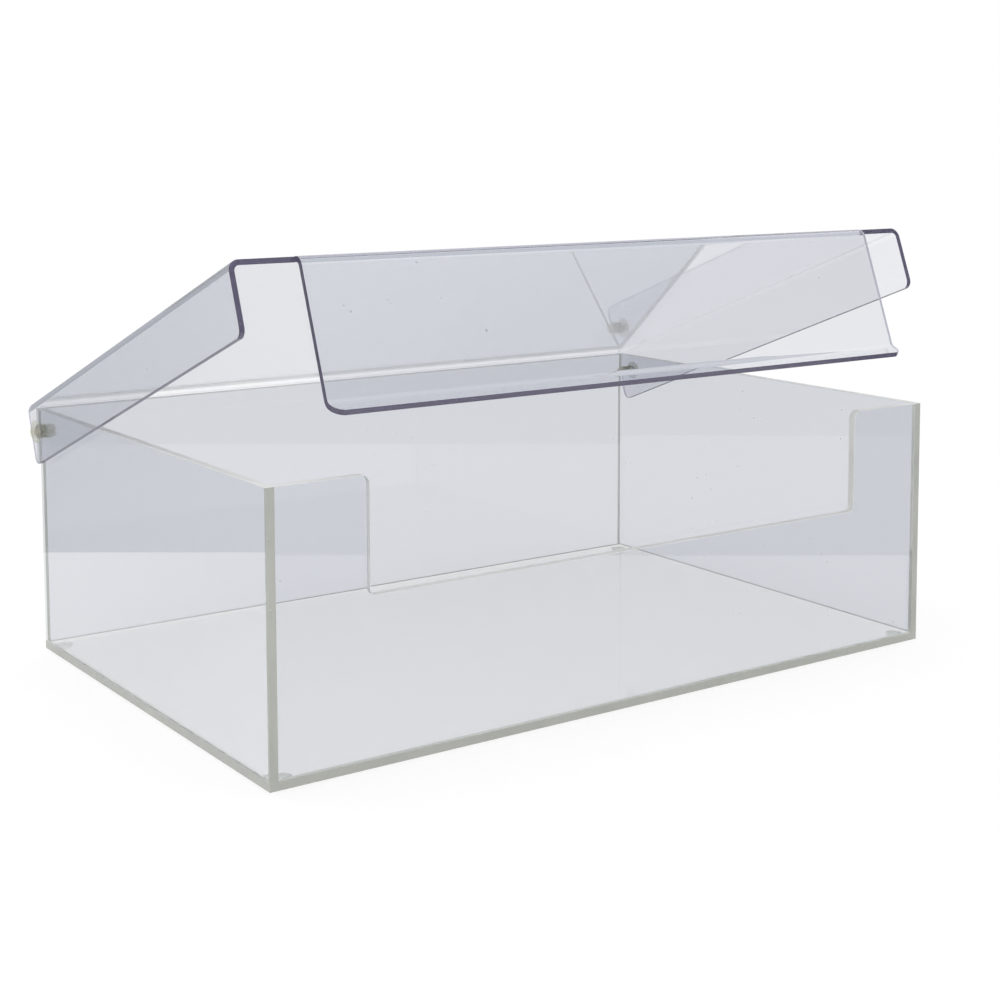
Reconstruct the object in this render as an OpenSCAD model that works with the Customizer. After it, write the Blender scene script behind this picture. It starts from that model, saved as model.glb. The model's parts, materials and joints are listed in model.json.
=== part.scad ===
// Clear acrylic countertop bin with a hinged, bent-sheet lid.
// The tank is five flat plates joined edge to edge: a base, two full-depth side walls, and a back
// wall and a low-fronted panel that stand between them. The lid is one sheet bent three ways, and
// it turns on two push rivets near the top back corners of the side walls.
// Frame: X to the right, Y to the back, Z up. Origin on the table, under the middle of the tank.

/* [Tank] */
// Outside width of the tank
tank_w = 457; // [260:1:620]
// Outside depth of the tank, front to back
tank_d = 305; // [180:1:420]
// Height of the tank, from the underside of the base to the top of the walls
tank_h = 152; // [120:1:260]
// Thickness of the tank's sheet
sheet = 4.8; // [3:0.1:6.4]

/* [Front cut-out] */
// Depth of the hand cut-out, down from the top of the walls
cutout_depth = 62; // [30:1:90]
// Width of the tab left standing at each end of the front, from the tank's outside
tab_w = 58; // [36:1:90]
// Radius on the upper inner corner of each tab
tab_corner_r = 5; // [1:0.5:10]
// Radius in the lower corners of the cut-out
cutout_corner_r = 3; // [1:0.5:10]

/* [Hinge] */
// Hinge axis down from the top of the walls
hinge_drop = 13; // [10:0.5:20]
// Angle by which the lid stands open at rest
rest_angle = 20.5; // [0:0.5:80]

/* [Lid] */
// Thickness of the lid's sheet
lid_sheet = 3; // [2:0.1:4]
// Gap between a side flap and the side wall
side_gap = 2; // [1:0.1:4]
// Gap between the front flap and the front panel when the lid is shut
front_gap = 1.5; // [1:0.1:4]
// Room between the lid's underside and the back edge of the tank as the lid swings
swing_gap = 0.8; // [0.6:0.1:3]
// How far the lid's rear edge stands out past the back wall
rear_overhang = 1.5; // [0.5:0.5:4]
// Height of the side flaps, from the lid's top face to their lower edge
side_flap_h = 39; // [34:1:60]
// Radius on the lower corners of the side flaps
side_flap_r = 5; // [1:0.5:8]
// Height of the front flap, from the lid's top face to where its lip turns out
front_flap_h = 75; // [40:1:100]
// How far in from the lid's outside each end of the front flap starts
flap_inset = 36.5; // [10:0.5:60]
// Inside radius of the three long bends and of the lip's bend
bend_r = 3; // [1:0.5:3]
// Length of the straight part of the finger lip
lip_len = 8; // [6:0.5:16]
// Angle by which the lip turns out from the front flap
lip_angle = 50; // [20:1:70]
// Radius on the lip's two corners
lip_corner_r = 7; // [1:0.5:9]

/* [Rivets] */
// Diameter of the rivets' shank
shank_d = 8; // [6:0.5:8]
// Radial clearance of the shank in the lid's holes
pivot_clear = 0.08; // [0.02:0.01:0.1]
// Radial clearance of the shank in the side walls' holes
wall_clear = 0.05; // [0.02:0.01:0.1]
// Diameter of the rivets' round head
head_d = 14; // [12:0.5:18]
// Thickness of the head
head_t = 2.2; // [1.6:0.1:4]
// Gap between the head and the outside of the side flap
head_gap = 0.6; // [0.4:0.1:2]
// How far the split legs reach inside the side wall
leg_len = 6; // [4:0.5:10]
// How far the spread legs stand proud of the shank, on the radius
leg_flare = 0.7; // [0.3:0.1:0.8]
// Room between the spread legs and the back wall
leg_gap = 0.5; // [0.3:0.1:3]
// Width of the two crossing slots that split the legs
slot_w = 1.2; // [0.8:0.1:1.6]
// Diameter of the drive pin that spreads the legs
pin_d = 3.6; // [3:0.1:4]
// Radial clearance of the drive pin in the rivet
pin_clear = 0.05; // [0.02:0.01:0.2]
// Diameter of the drive pin's head
pin_head_d = 6.6; // [5:0.1:8]
// Thickness of the drive pin's head
pin_head_t = 0.9; // [0.6:0.1:1.5]

/* [Feet] */
// Diameter of each bumper foot where it meets the base
foot_d = 11; // [8:0.5:16]
// Height of each foot
foot_h = 2; // [1.2:0.1:4]
// Centre of each foot in from the two outside faces of its corner
foot_inset = 11; // [9:0.5:30]

/* [Hidden] */
$fn = 64;

// How far a cutting shape runs past the face that it cuts
over = 1;

// Tank levels and faces
base_top = foot_h + sheet;
wall_top = foot_h + tank_h;
wall_h = wall_top - base_top;
side_out = tank_w / 2;
side_in = side_out - sheet;
front_out = -tank_d / 2;
back_out = tank_d / 2;
between_w = tank_w - 2 * sheet;

// Front cut-out
cutout_w = tank_w - 2 * tab_w;
cutout_floor = wall_top - cutout_depth;

// Hinge axis, which runs along X, just far enough forward for the legs to clear the back wall
shank_r = shank_d / 2;
hinge_inset = sheet + leg_gap + shank_r + leg_flare;
hinge_y = back_out - hinge_inset;
hinge_z = wall_top - hinge_drop;

// Lid, in its own frame: hinge axis at the origin, lid square to the tank
bend_out = bend_r + lid_sheet;
lid_under = norm([hinge_inset, hinge_drop]) + swing_gap;
lid_top = lid_under + lid_sheet;
lid_in = side_out + side_gap;
lid_out = lid_in + lid_sheet;
lid_front = -(tank_d - hinge_inset) - front_gap - lid_sheet;
lid_rear = hinge_inset + rear_overhang;
// The top and the side flaps end where the front bend starts
top_front = lid_front + bend_out;
flap_foot = lid_top - side_flap_h;
lip_bend_z = lid_top - front_flap_h;
front_flap_w = 2 * (lid_out - flap_inset);

// Rivet stations along X, outward from the tank's middle
head_in = lid_out + head_gap;
head_out = head_in + head_t;
leg_tip = side_in - leg_len;
// Where the spread legs are widest, as a share of their length from the wall
leg_crest = 0.35;
// Radius at the very tip of the legs, as a share of the shank's
tip_share = 0.88;
// Rim of the head, as a share of its thickness, below its sloped face
rim_share = 0.55;
// Flat crown of the head, as a share of its diameter
crown_share = 0.72;
// Where the legs' slots stop, inside the side wall
slot_end = side_in + sheet / 2;
// How far the drive pin's tip shows past the legs, and its lead-in taper
pin_show = 0.6;
pin_lead = 0.8;
pin_tip_share = 0.7;
pin_dome_share = 0.85;

// Diameter of each foot on the table, as a share of that at the base
foot_taper = 0.82;

// A flat plate from its lowest corner and its size, used for the tank's straight pieces
module plate(corner, size) {
    translate(corner) cube(size);
}

// Turns a shape drawn in XY and raised along Z so that it lies in YZ and runs along X
module along_x() {
    rotate([90, 0, 90]) children();
}

// A shape drawn in XZ, run back along Y from one face to another
module along_y(from_y, to_y) {
    translate([0, to_y, 0]) rotate([90, 0, 0]) linear_extrude(to_y - from_y) children();
}

// The hole that a rivet's shank passes through, wide enough to cut both sides of the bin
module pivot_hole(radius) {
    rotate([0, 90, 0]) cylinder(r = radius, h = 2 * (lid_out + over), center = true);
}

module side_wall(side) {
    difference() {
        plate([side > 0 ? side_in : -side_out, front_out, base_top], [sheet, tank_d, wall_h]);
        translate([0, hinge_y, hinge_z]) pivot_hole(shank_r + wall_clear);
    }
}

// Outline of the hand cut-out: open at the top, with round lower corners
module cutout_outline() {
    r = cutout_corner_r;
    translate([-cutout_w / 2, r]) square([cutout_w, cutout_depth + over]);
    translate([r - cutout_w / 2, 0]) square([cutout_w - 2 * r, 2 * r]);
    for (x = [r - cutout_w / 2, cutout_w / 2 - r]) translate([x, r]) circle(r);
}

// What rounds off a square corner at the origin, where the plate lies towards +X and +Y
module round_off(r) {
    difference() {
        translate([-over, -over]) square(r + over);
        translate([r, r]) circle(r);
    }
}

module front_outline() {
    difference() {
        translate([-between_w / 2, base_top]) square([between_w, wall_h]);
        translate([0, cutout_floor]) cutout_outline();
        for (side = [0, 1])
            mirror([side, 0]) translate([cutout_w / 2, wall_top])
                mirror([0, 1]) round_off(tab_corner_r);
    }
}

// One bend of the lid's sheet seen from its end: a ring's sector of up to 90 degrees from a start
// angle. Each end is cut square to the flat that carries on from it.
module bend_sector(start, sweep) {
    reach = 2 * bend_out;
    intersection() {
        difference() {
            circle(bend_out);
            circle(bend_r);
        }
        rotate(start) square(reach);
        rotate(start + sweep) translate([0, -reach]) square(reach);
    }
}

// Lid top and side flaps seen from the front: a wide channel with two round bends
module channel_outline() {
    translate([bend_out - lid_out, lid_under]) square([2 * (lid_out - bend_out), lid_sheet]);
    for (side = [0, 1]) mirror([side, 0]) {
        translate([lid_in, flap_foot]) square([lid_sheet, lid_top - bend_out - flap_foot]);
        translate([lid_out - bend_out, lid_top - bend_out]) bend_sector(0, 90);
    }
}

// Front flap seen from the side: a strip of the lid's top, which makes the two one sheet, the
// front bend, the flap down to its lip, the lip's bend and its straight part
module front_flap_outline() {
    translate([top_front, lid_under]) square([bend_out, lid_sheet]);
    translate([top_front, lid_top - bend_out]) bend_sector(90, 90);
    translate([lid_front, lip_bend_z]) square([lid_sheet, lid_top - bend_out - lip_bend_z]);
    translate([lid_front - bend_r, lip_bend_z]) {
        bend_sector(-lip_angle, lip_angle);
        rotate(-lip_angle) translate([bend_r, -lip_len]) square([lid_sheet, lip_len]);
    }
}

// What rounds off the lip's two corners, square to the lip's straight part
module lip_corner_cuts() {
    r = min(lip_corner_r, lip_len);
    translate([0, lid_front - bend_r, lip_bend_z]) rotate([-90 - lip_angle, 0, 0])
        linear_extrude(2 * bend_out)
            for (side = [0, 1])
                mirror([side, 0]) translate([-front_flap_w / 2, lip_len]) mirror([0, 1]) round_off(r);
}

// What rounds off a side flap's lower corner, at the front (end = -1) or at the back (end = 1)
module flap_corner_cut(y, end) {
    along_x() linear_extrude(2 * (lid_out + over), center = true)
        translate([y, flap_foot]) mirror([end > 0 ? 1 : 0, 0]) round_off(side_flap_r);
}

module lid_square() {
    difference() {
        along_y(top_front, lid_rear) channel_outline();
        flap_corner_cut(top_front, -1);
        flap_corner_cut(lid_rear, 1);
        pivot_hole(shank_r + pivot_clear);
    }
    difference() {
        along_x() linear_extrude(front_flap_w, center = true) front_flap_outline();
        lip_corner_cuts();
    }
}

// Turns a profile drawn as radius and X station into a solid of revolution on the hinge axis,
// on the right (side = 1) or the left (side = -1)
module turned_on_hinge(side) {
    translate([0, hinge_y, hinge_z]) mirror([side < 0 ? 1 : 0, 0, 0])
        rotate([0, 90, 0]) rotate_extrude() children();
}

// The two crossing slots that split the rivet's legs
module leg_slots(side) {
    reach = 2 * (shank_r + leg_flare + over);
    run = slot_end - leg_tip + over;
    translate([0, hinge_y, hinge_z]) mirror([side < 0 ? 1 : 0, 0, 0])
        for (turn = [0, 90]) rotate([turn, 0, 0])
            translate([leg_tip - over, -slot_w / 2, -reach / 2]) cube([run, slot_w, reach]);
}

module rivet(side) {
    bore = pin_d / 2 + pin_clear;
    head_r = head_d / 2;
    difference() {
        turned_on_hinge(side) polygon([
            [bore, leg_tip],
            [tip_share * shank_r, leg_tip],
            [shank_r + leg_flare, side_in - leg_crest * leg_len],
            [shank_r, side_in],
            [shank_r, head_in],
            [head_r, head_in],
            [head_r, head_in + rim_share * head_t],
            [crown_share * head_r, head_out],
            [bore, head_out]
        ]);
        leg_slots(side);
    }
}

module rivet_pin(side) {
    pin_r = pin_d / 2;
    pin_tip = leg_tip - pin_show;
    turned_on_hinge(side) polygon([
        [0, pin_tip],
        [pin_tip_share * pin_r, pin_tip],
        [pin_r, pin_tip + pin_lead],
        [pin_r, head_out],
        [pin_head_d / 2, head_out],
        [pin_dome_share * pin_head_d / 2, head_out + pin_head_t],
        [0, head_out + pin_head_t]
    ]);
}

module foot(x_side, y_side) {
    color([0.86, 0.88, 0.88, 0.6])
        translate([x_side * (side_out - foot_inset), y_side * (back_out - foot_inset), 0])
            cylinder(d1 = foot_taper * foot_d, d2 = foot_d, h = foot_h);
}

module base_plate() {
    color([0.82, 0.86, 0.84, 0.4])
        plate([-side_out, front_out, foot_h], [tank_w, tank_d, sheet]);
}

module left_wall() {
    color([0.80, 0.84, 0.84, 0.4]) side_wall(-1);
}

module right_wall() {
    color([0.80, 0.84, 0.84, 0.4]) side_wall(1);
}

module back_wall() {
    color([0.82, 0.85, 0.86, 0.4])
        plate([-side_in, back_out - sheet, base_top], [between_w, sheet, wall_h]);
}

module front_panel() {
    color([0.82, 0.85, 0.86, 0.4])
        along_y(front_out, front_out + sheet) front_outline();
}

module lid() {
    color([0.66, 0.66, 0.76, 0.5])
        translate([0, hinge_y, hinge_z]) rotate([-rest_angle, 0, 0]) lid_square();
}

module left_rivet() {
    color([0.90, 0.89, 0.84]) rivet(-1);
}

module right_rivet() {
    color([0.90, 0.89, 0.84]) rivet(1);
}

module left_rivet_pin() {
    color([0.94, 0.93, 0.89]) rivet_pin(-1);
}

module right_rivet_pin() {
    color([0.94, 0.93, 0.89]) rivet_pin(1);
}

base_plate();
left_wall();
right_wall();
back_wall();
front_panel();
lid();
left_rivet();
right_rivet();
left_rivet_pin();
right_rivet_pin();
foot(-1, -1);  // foot_front_left
foot(1, -1);  // foot_front_right
foot(-1, 1);  // foot_back_left
foot(1, 1);  // foot_back_right
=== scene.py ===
"""Looks for a clear countertop bin with a hinged, bent-sheet lid.

The tank's five sheets and the lid are meshes worked out from the frame's own boxes. The rivets,
their drive pins and the feet are turned by Geometry Nodes trees. Lengths are in metres, Z up.
"""

import json
import math

import bmesh
import bpy
from bpy.props import FloatProperty, FloatVectorProperty, IntProperty, PointerProperty
from mathutils import Matrix, Vector


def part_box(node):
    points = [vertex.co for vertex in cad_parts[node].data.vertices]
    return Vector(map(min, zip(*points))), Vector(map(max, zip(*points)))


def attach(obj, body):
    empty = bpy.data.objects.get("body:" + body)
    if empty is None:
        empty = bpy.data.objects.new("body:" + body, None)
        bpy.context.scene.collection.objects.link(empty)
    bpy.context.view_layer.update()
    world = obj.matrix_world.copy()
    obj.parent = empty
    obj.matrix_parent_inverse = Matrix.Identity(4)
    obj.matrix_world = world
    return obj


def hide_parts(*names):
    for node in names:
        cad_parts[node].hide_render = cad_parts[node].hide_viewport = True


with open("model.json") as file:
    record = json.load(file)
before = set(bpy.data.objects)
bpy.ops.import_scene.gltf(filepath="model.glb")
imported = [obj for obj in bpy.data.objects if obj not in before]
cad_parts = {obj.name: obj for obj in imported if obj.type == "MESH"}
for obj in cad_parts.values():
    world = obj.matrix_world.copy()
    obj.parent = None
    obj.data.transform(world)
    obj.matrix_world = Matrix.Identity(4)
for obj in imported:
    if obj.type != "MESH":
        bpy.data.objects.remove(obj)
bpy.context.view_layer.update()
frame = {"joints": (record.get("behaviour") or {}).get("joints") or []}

bl_info = {
    "name": "Clear hinged bin",
    "version": (1, 0, 0),
    "blender": (4, 5, 0),
    "location": "3D View > Sidebar > Bin",
    "description": "Makes the sheets, hinge rivets, feet and studio of a clear countertop bin",
    "category": "Add Mesh",
}

MM = 0.001
HINGE = Vector(next(j["pos_m"] for j in frame["joints"] if j["name"] == "lid_hinge"))
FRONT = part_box("front_panel")
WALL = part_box("right_wall")
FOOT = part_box("foot_front_right")
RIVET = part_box("right_rivet")
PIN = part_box("right_rivet_pin")
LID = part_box("lid")

# Each tank sheet and the axis across its thickness
TANK_SHEETS = {"base_plate": 2, "left_wall": 0, "right_wall": 0, "back_wall": 1, "front_panel": 1}
# Material slots of a sheet
SHEET, CUT_EDGE, JOINT, RIM = 0, 1, 2, 3
# Sockets of a Mix node that mixes colours, and what else it takes
MIX_BY, MIX_A, MIX_B = 0, 6, 7
OF_COLOURS = {"data_type": "RGBA", "out": 2}

WELD = 0.001 * MM  # points this near are one point
TOUCH = 0.01 * MM  # pieces this near touch
SHORTEST_CUT = 0.1 * MM  # a sheet is not divided nearer to its end than this
HOLE_MARGIN = 1.9 * MM  # flap left round the hinge bore in the square cell that holds it
BORE_SIDES = 48
DRILL_LENGTH = 50 * MM
CORNER = math.radians(60)  # steeper edges are scraped
CREASE = math.radians(18)  # steeper edges are shaded sharp, and the bends' facets are not
FACES_SHEET = 0.999  # share of a normal along the sheet's thickness, on its polished faces
FACES_UP = 0.2  # a normal's Z, on the rims

ACRYLIC_IOR, COPOLYESTER_IOR, NYLON_IOR, POLYURETHANE_IOR = 1.49, 1.57, 1.53, 1.48
# Shares kept of a colour's red, green and blue
EDGE_DEPTHS = (0.8, 0.8, 0.8)
NYLON_WARMTH = (0.97, 0.965, 0.94)
PAPER_SHADE = (0.16, 0.16, 0.16)
PAPER_LIFT = 0.862  # light added to the paper as it is seen, so that it comes up white

# Radii as shares of a named size: leg tips, head's foot, shoulder and crown
RIVET_RADII = (("Shank", 0.88), ("Head", 0.96), ("Head", 0.86), ("Head", 0.72))
CREST = 0.35  # where the spread legs are widest, from the wall to their tips
HEAD_STEPS = (0.12, 0.5, 0.8)  # heights on the head: end of its foot, of its side, and its shoulder
PIN_RADII = (("Pin head", 0.85), ("Pin", 0.7))  # the dome's crown and the point
PIN_TAPER = 0.8 * MM
FOOT_RADII = (("Radius", 0.74), ("Radius", 0.82))  # the sole, and the round above it
FOOT_ROUND = 0.14  # height of that round, as a share of the foot's

FLOOR_REACH = 12.0
GREY_FROM, GREY_TO = math.radians(6), math.radians(16)  # heights over which the room turns grey
FLAG_HALF_WIDTH, FLAG_HEIGHT = 0.75, 0.6
FLAG_FADES = (("X", 0.5), ("Y", 0.6))  # where a flag starts to fade, as a share of its reach
LEFT_FLAG_AWAY, RIGHT_FLAG_AWAY = 0.519, 0.488
SOFTBOX_PLACE, SOFTBOX_SIZE = (-0.35, 0.1, 1.9), (1.4, 1.0)
SENSOR_MM = 36
NEAREST, FURTHEST = 0.01, 100
GUIDED_BOUNCES = 96  # light guided along a sheet meets its faces dozens of times
CLEAR_LAYERS = 32


def linear(text):
    """The linear RGBA of an sRGB hex colour."""
    parts = [int(text[i : i + 2], 16) / 255 for i in (1, 3, 5)]
    return (*(c / 12.92 if c <= 0.04045 else ((c + 0.055) / 1.055) ** 2.4 for c in parts), 1.0)


WHITE = linear("#FFFFFF")


def times(tint, shares):
    """A colour with its red, green and blue multiplied."""
    return (*(c * share for c, share in zip(tint, shares)), 1.0)


def length(name, about, default):
    """A length of up to a metre."""
    return FloatProperty(
        name=name, description=about, default=default, min=0, max=1, unit="LENGTH", precision=5
    )


def colour(name, about, default):
    """A colour, given as sRGB hex."""
    return FloatVectorProperty(
        name=name, description=about, default=linear(default), subtype="COLOR", size=4, min=0, max=1
    )


class BinTank(bpy.types.PropertyGroup):
    """Sizes and colours of the tank's sheets"""

    tab: length("Tab", "Width of each front tab, from the tank's outside", 58 * MM)
    cutout: length("Cut-out depth", "Depth of the hand cut-out below the top of the walls", 62 * MM)
    tab_round: length("Tab corner", "Radius on the upper inner corner of each tab", 5 * MM)
    cutout_round: length("Cut-out corner", "Radius in the lower corners of the cut-out", 3 * MM)
    bore: length("Hinge bore", "Radius of the rivet's hole in the side walls", 4.05 * MM)
    edge_break: length("Edge break", "Width of the scraped edge on every sheet", 0.25 * MM)
    tint: colour("Sheet", "What the front and left sheets let through", "#F5F6F8")
    # A greyer copy of the front sheet: painted shade for the darker room behind the back and right
    # sheets
    painted_shade_tint: colour("Greyer sheet", "What the back and right sheets let through", "#D8DADF")
    # The base lets more through than the other sheets: painted light that offsets the floor's
    # shadow under it
    base_tint: colour("Base sheet", "What the base lets through", "#FDFDFC")
    edge: colour("Cut edge", "Colour of the tank's cut edges", "#BFC0B9")
    # The rim's colour is lighter than the cut edge's: a painted highlight for the light from above
    rim: colour("Rim", "Colour of the upper and cut-out edges, painted lighter for the light from above", "#F6F7F4")
    within: colour("Cut edge, within", "Colour of the cut edges from within the sheet", "#F8F9F6")


class BinLid(bpy.types.PropertyGroup):
    """Sizes and colours of the lid"""

    thickness: length("Thickness", "Thickness of the lid's sheet", 3 * MM)
    bend: length("Bend", "Inside radius of the bends", 3 * MM)
    rest: FloatProperty(
        name="Open at rest",
        description="Angle by which the lid stands open at rest",
        default=math.radians(20.5),
        subtype="ANGLE",
    )
    side_flap: length("Side flap", "Height of the side flaps from the lid's top face", 39 * MM)
    side_round: length("Side flap corner", "Radius on the side flaps' lower corners", 5 * MM)
    front_flap: length("Front flap", "Height of the front flap from the lid's top face", 75 * MM)
    inset: length("Front flap inset", "From the lid's outside to the front flap's side", 36.5 * MM)
    lip: length("Lip", "Length of the lip's straight part", 8 * MM)
    lip_round: length("Lip corner", "Radius on the lip's corners", 7 * MM)
    lip_angle: FloatProperty(
        name="Lip angle",
        description="Angle by which the lip turns out from the front flap",
        default=math.radians(50),
        subtype="ANGLE",
    )
    overhang: length("Rear reach", "How far the lid reaches behind the hinge axis", 11.5 * MM)
    front_gap: length("Front gap", "Gap between front flap and front panel when shut", 1.5 * MM)
    top: length("Lid top", "Height of the lid's top face above the hinge axis", 20.2 * MM)
    bore: length("Hinge bore", "Radius of the rivet's hole in the side flaps", 4.08 * MM)
    edge_break: length("Edge break", "Width of the scraped edge on the lid's sheet", 0.25 * MM)
    bend_steps: IntProperty(name="Bend steps", description="Faces round a bend", default=11, min=2)
    tint: colour("Sheet", "What the lid's sheet lets through", "#EFF0F3")
    edge: colour("Cut edge", "Colour of the lid's cut edges", "#57516A")
    within: colour("Cut edge, within", "Colour of the cut edges from within the sheet", "#DAD9E4")


class BinHardware(bpy.types.PropertyGroup):
    """Sizes and colours of the rivets, their pins and the feet"""

    shank: length("Shank", "Radius of the rivets' shank", 4 * MM)
    flare: length("Flare", "How far the spread legs stand proud of the shank", 0.7 * MM)
    slot: length("Slot", "Width of the slots that split the legs", 1.2 * MM)
    head: length("Head", "Radius of the rivets' head", 7 * MM)
    head_height: length("Head height", "Thickness of the rivets' head", 2.2 * MM)
    pin: length("Pin", "Radius of the drive pin", 1.8 * MM)
    pin_head: length("Pin head", "Radius of the drive pin's head", 3.3 * MM)
    pin_clear: length("Pin clearance", "Radial clearance of the drive pin", 0.05 * MM)
    sides: IntProperty(name="Sides", description="Faces round a turned piece", default=48, min=3)
    nylon: colour("Nylon", "Colour of the moulded rivets", "#F0F0EA")
    pin_nylon: colour("Pin nylon", "Colour of the drive pins", "#EFEEE8")
    bumper: colour("Bumper", "Colour of the clear feet", "#EDEFEC")


class BinStudio(bpy.types.PropertyGroup):
    """The camera, the room and its light"""

    lens: FloatProperty(
        name="Lens", description="Focal length on a 36 mm sensor", default=64.88, unit="CAMERA"
    )
    shift: FloatVectorProperty(
        name="Shift", description="Lens shift, in sensor widths", size=2, default=(-0.05, -0.2)
    )
    place: FloatVectorProperty(
        name="Camera",
        description="Where the camera stands",
        size=3,
        default=(-0.6181, -0.9266, 0.3274),
        subtype="XYZ",
        unit="LENGTH",
    )
    yaw: FloatProperty(name="Yaw", description="Camera turn", default=0.62532, subtype="ANGLE")
    pitch: FloatProperty(name="Pitch", description="Camera tilt", default=-0.09622, subtype="ANGLE")
    floor: colour("Floor", "Colour of the studio floor", "#FAFAFB")
    ceiling: colour("Room", "Colour of the upper room that the sheets mirror", "#CDD0D8")
    flag_left: colour("Left flag", "Colour of the flag beside the left wall", "#B4B7BD")
    flag_right: colour("Right flag", "Colour of the flag before the front", "#8C8F96")
    fill: FloatProperty(name="Fill", description="Strength of the even light", default=0.9)
    key: FloatProperty(
        name="Softbox", description="Power of the overhead softbox", default=8.0, unit="POWER"
    )


def put(tree, kind, inputs=(), out=0, **settings):
    """Adds a node with its settings, feeds its sockets values or outputs, returns an output."""
    made = tree.nodes.new(kind)
    for name, value in settings.items():
        setattr(made, name, value)
    if kind == "GeometryNodeIndexSwitch":
        for _ in range(len(inputs) - 1 - len(made.index_switch_items)):
            made.index_switch_items.new()
    for key, value in inputs.items() if isinstance(inputs, dict) else enumerate(inputs):
        if isinstance(value, bpy.types.NodeSocket):
            tree.links.new(value, made.inputs[key])
        elif value is not None:
            made.inputs[key].default_value = value
    if out is None:
        return made.outputs
    return made.outputs[out] if len(made.outputs) else made


def new_material(name):
    """An empty node material and its tree."""
    mat = bpy.data.materials.new(name)
    mat.use_nodes = True
    mat.node_tree.nodes.clear()
    return mat, mat.node_tree


def per_metre(size_mm):
    """The texture scale at which one cell is size_mm across."""
    return 1 / (size_mm * MM)


def speckle(tree, where, cell_mm, share, size_mm):
    """1 on the small round specks that fall in a share of a pattern's cells, 0 elsewhere."""
    cells = {"Vector": where, "Scale": per_metre(cell_mm), "Randomness": 1.0}
    away = put(tree, "ShaderNodeTexVoronoi", cells, feature="F1")
    chance = put(tree, "ShaderNodeTexVoronoi", cells, out="Color", feature="F1")
    parts = put(tree, "ShaderNodeSeparateColor", (chance,), out=None)
    picked = put(tree, "ShaderNodeMath", (parts[0], share), operation="LESS_THAN")
    reach = put(tree, "ShaderNodeMath", (parts[1], size_mm / cell_mm), operation="MULTIPLY")
    small = put(tree, "ShaderNodeMath", (away, reach), operation="LESS_THAN")
    return put(tree, "ShaderNodeMath", (picked, small), operation="MULTIPLY")


def polished_sheet(name, tint, ior, dust):
    """Extruded acrylic or copolyester sheet, as it comes from under its film: glassy, with a ripple
    too long to see but in its reflections, and dust and scuffs that show as small grey specks. Real
    dust is finer, and is drawn as coarse as it needs to show."""
    mat, tree = new_material(name)
    where = put(tree, "ShaderNodeTexCoord", out="Object")
    wave = {"Vector": where, "Scale": per_metre(90), "Detail": 1.0}
    ripple = put(tree, "ShaderNodeTexNoise", wave)
    bump = put(tree, "ShaderNodeBump", {"Strength": 0.03, "Distance": 0.3 * MM, "Height": ripple})
    worn = put(tree, "ShaderNodeTexNoise", {"Vector": where, "Scale": per_metre(70), "Detail": 3.0})
    patch = put(
        tree,
        "ShaderNodeMapRange",
        {"Value": worn, "From Min": 0.5, "From Max": 0.75},
        interpolation_type="SMOOTHSTEP",
    )
    share = put(tree, "ShaderNodeMath", (patch, dust), operation="MULTIPLY")
    specks = speckle(tree, where, cell_mm=6, share=share, size_mm=0.7)
    rough = put(tree, "ShaderNodeMapRange", {"Value": specks, "To Min": 0.0, "To Max": 0.5})
    grey = linear("#C8CACD")
    shade = put(tree, "ShaderNodeMix", {MIX_BY: specks, MIX_A: tint, MIX_B: grey}, **OF_COLOURS)
    surface = put(
        tree,
        "ShaderNodeBsdfPrincipled",
        {
            "Base Color": shade,
            "Roughness": rough,
            "IOR": ior,
            "Transmission Weight": 1.0,
            "Normal": bump,
        },
    )
    put(tree, "ShaderNodeOutputMaterial", {"Surface": surface})
    return mat


def sawn_edge(name, tint, within, ior, clear):
    """The sheet's cut edge, sawn and scraped: the long way through the sheet makes it deep and
    dark. Seen from within the sheet it glows with the room's light. The saw's marks are finer than
    the 1.6 mm here, which is as coarse as they need to show."""
    mat, tree = new_material(name)
    where = put(tree, "ShaderNodeTexCoord", out="Object")
    marks = put(
        tree,
        "ShaderNodeTexNoise",
        {"Vector": where, "Scale": per_metre(1.6), "Detail": 2.0, "Roughness": 0.6},
    )
    bump = put(tree, "ShaderNodeBump", {"Strength": 0.25, "Distance": 0.05 * MM, "Height": marks})
    rough = put(tree, "ShaderNodeMapRange", {"Value": marks, "To Min": 0.12, "To Max": 0.34})
    deep = put(tree, "ShaderNodeTexNoise", {"Vector": where, "Scale": per_metre(28), "Detail": 2.0})
    dark = times(tint, EDGE_DEPTHS)
    shade = put(tree, "ShaderNodeMix", {MIX_BY: deep, MIX_A: tint, MIX_B: dark}, **OF_COLOURS)
    outside = put(
        tree,
        "ShaderNodeBsdfPrincipled",
        {
            "Base Color": shade,
            "Roughness": rough,
            "IOR": ior,
            "Transmission Weight": clear,
            "Normal": bump,
        },
    )
    inside = put(tree, "ShaderNodeBsdfTranslucent", {"Color": within})
    behind = put(tree, "ShaderNodeNewGeometry", out="Backfacing")
    surface = put(tree, "ShaderNodeMixShader", (behind, outside, inside))
    put(tree, "ShaderNodeOutputMaterial", {"Surface": surface})
    return mat


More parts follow.
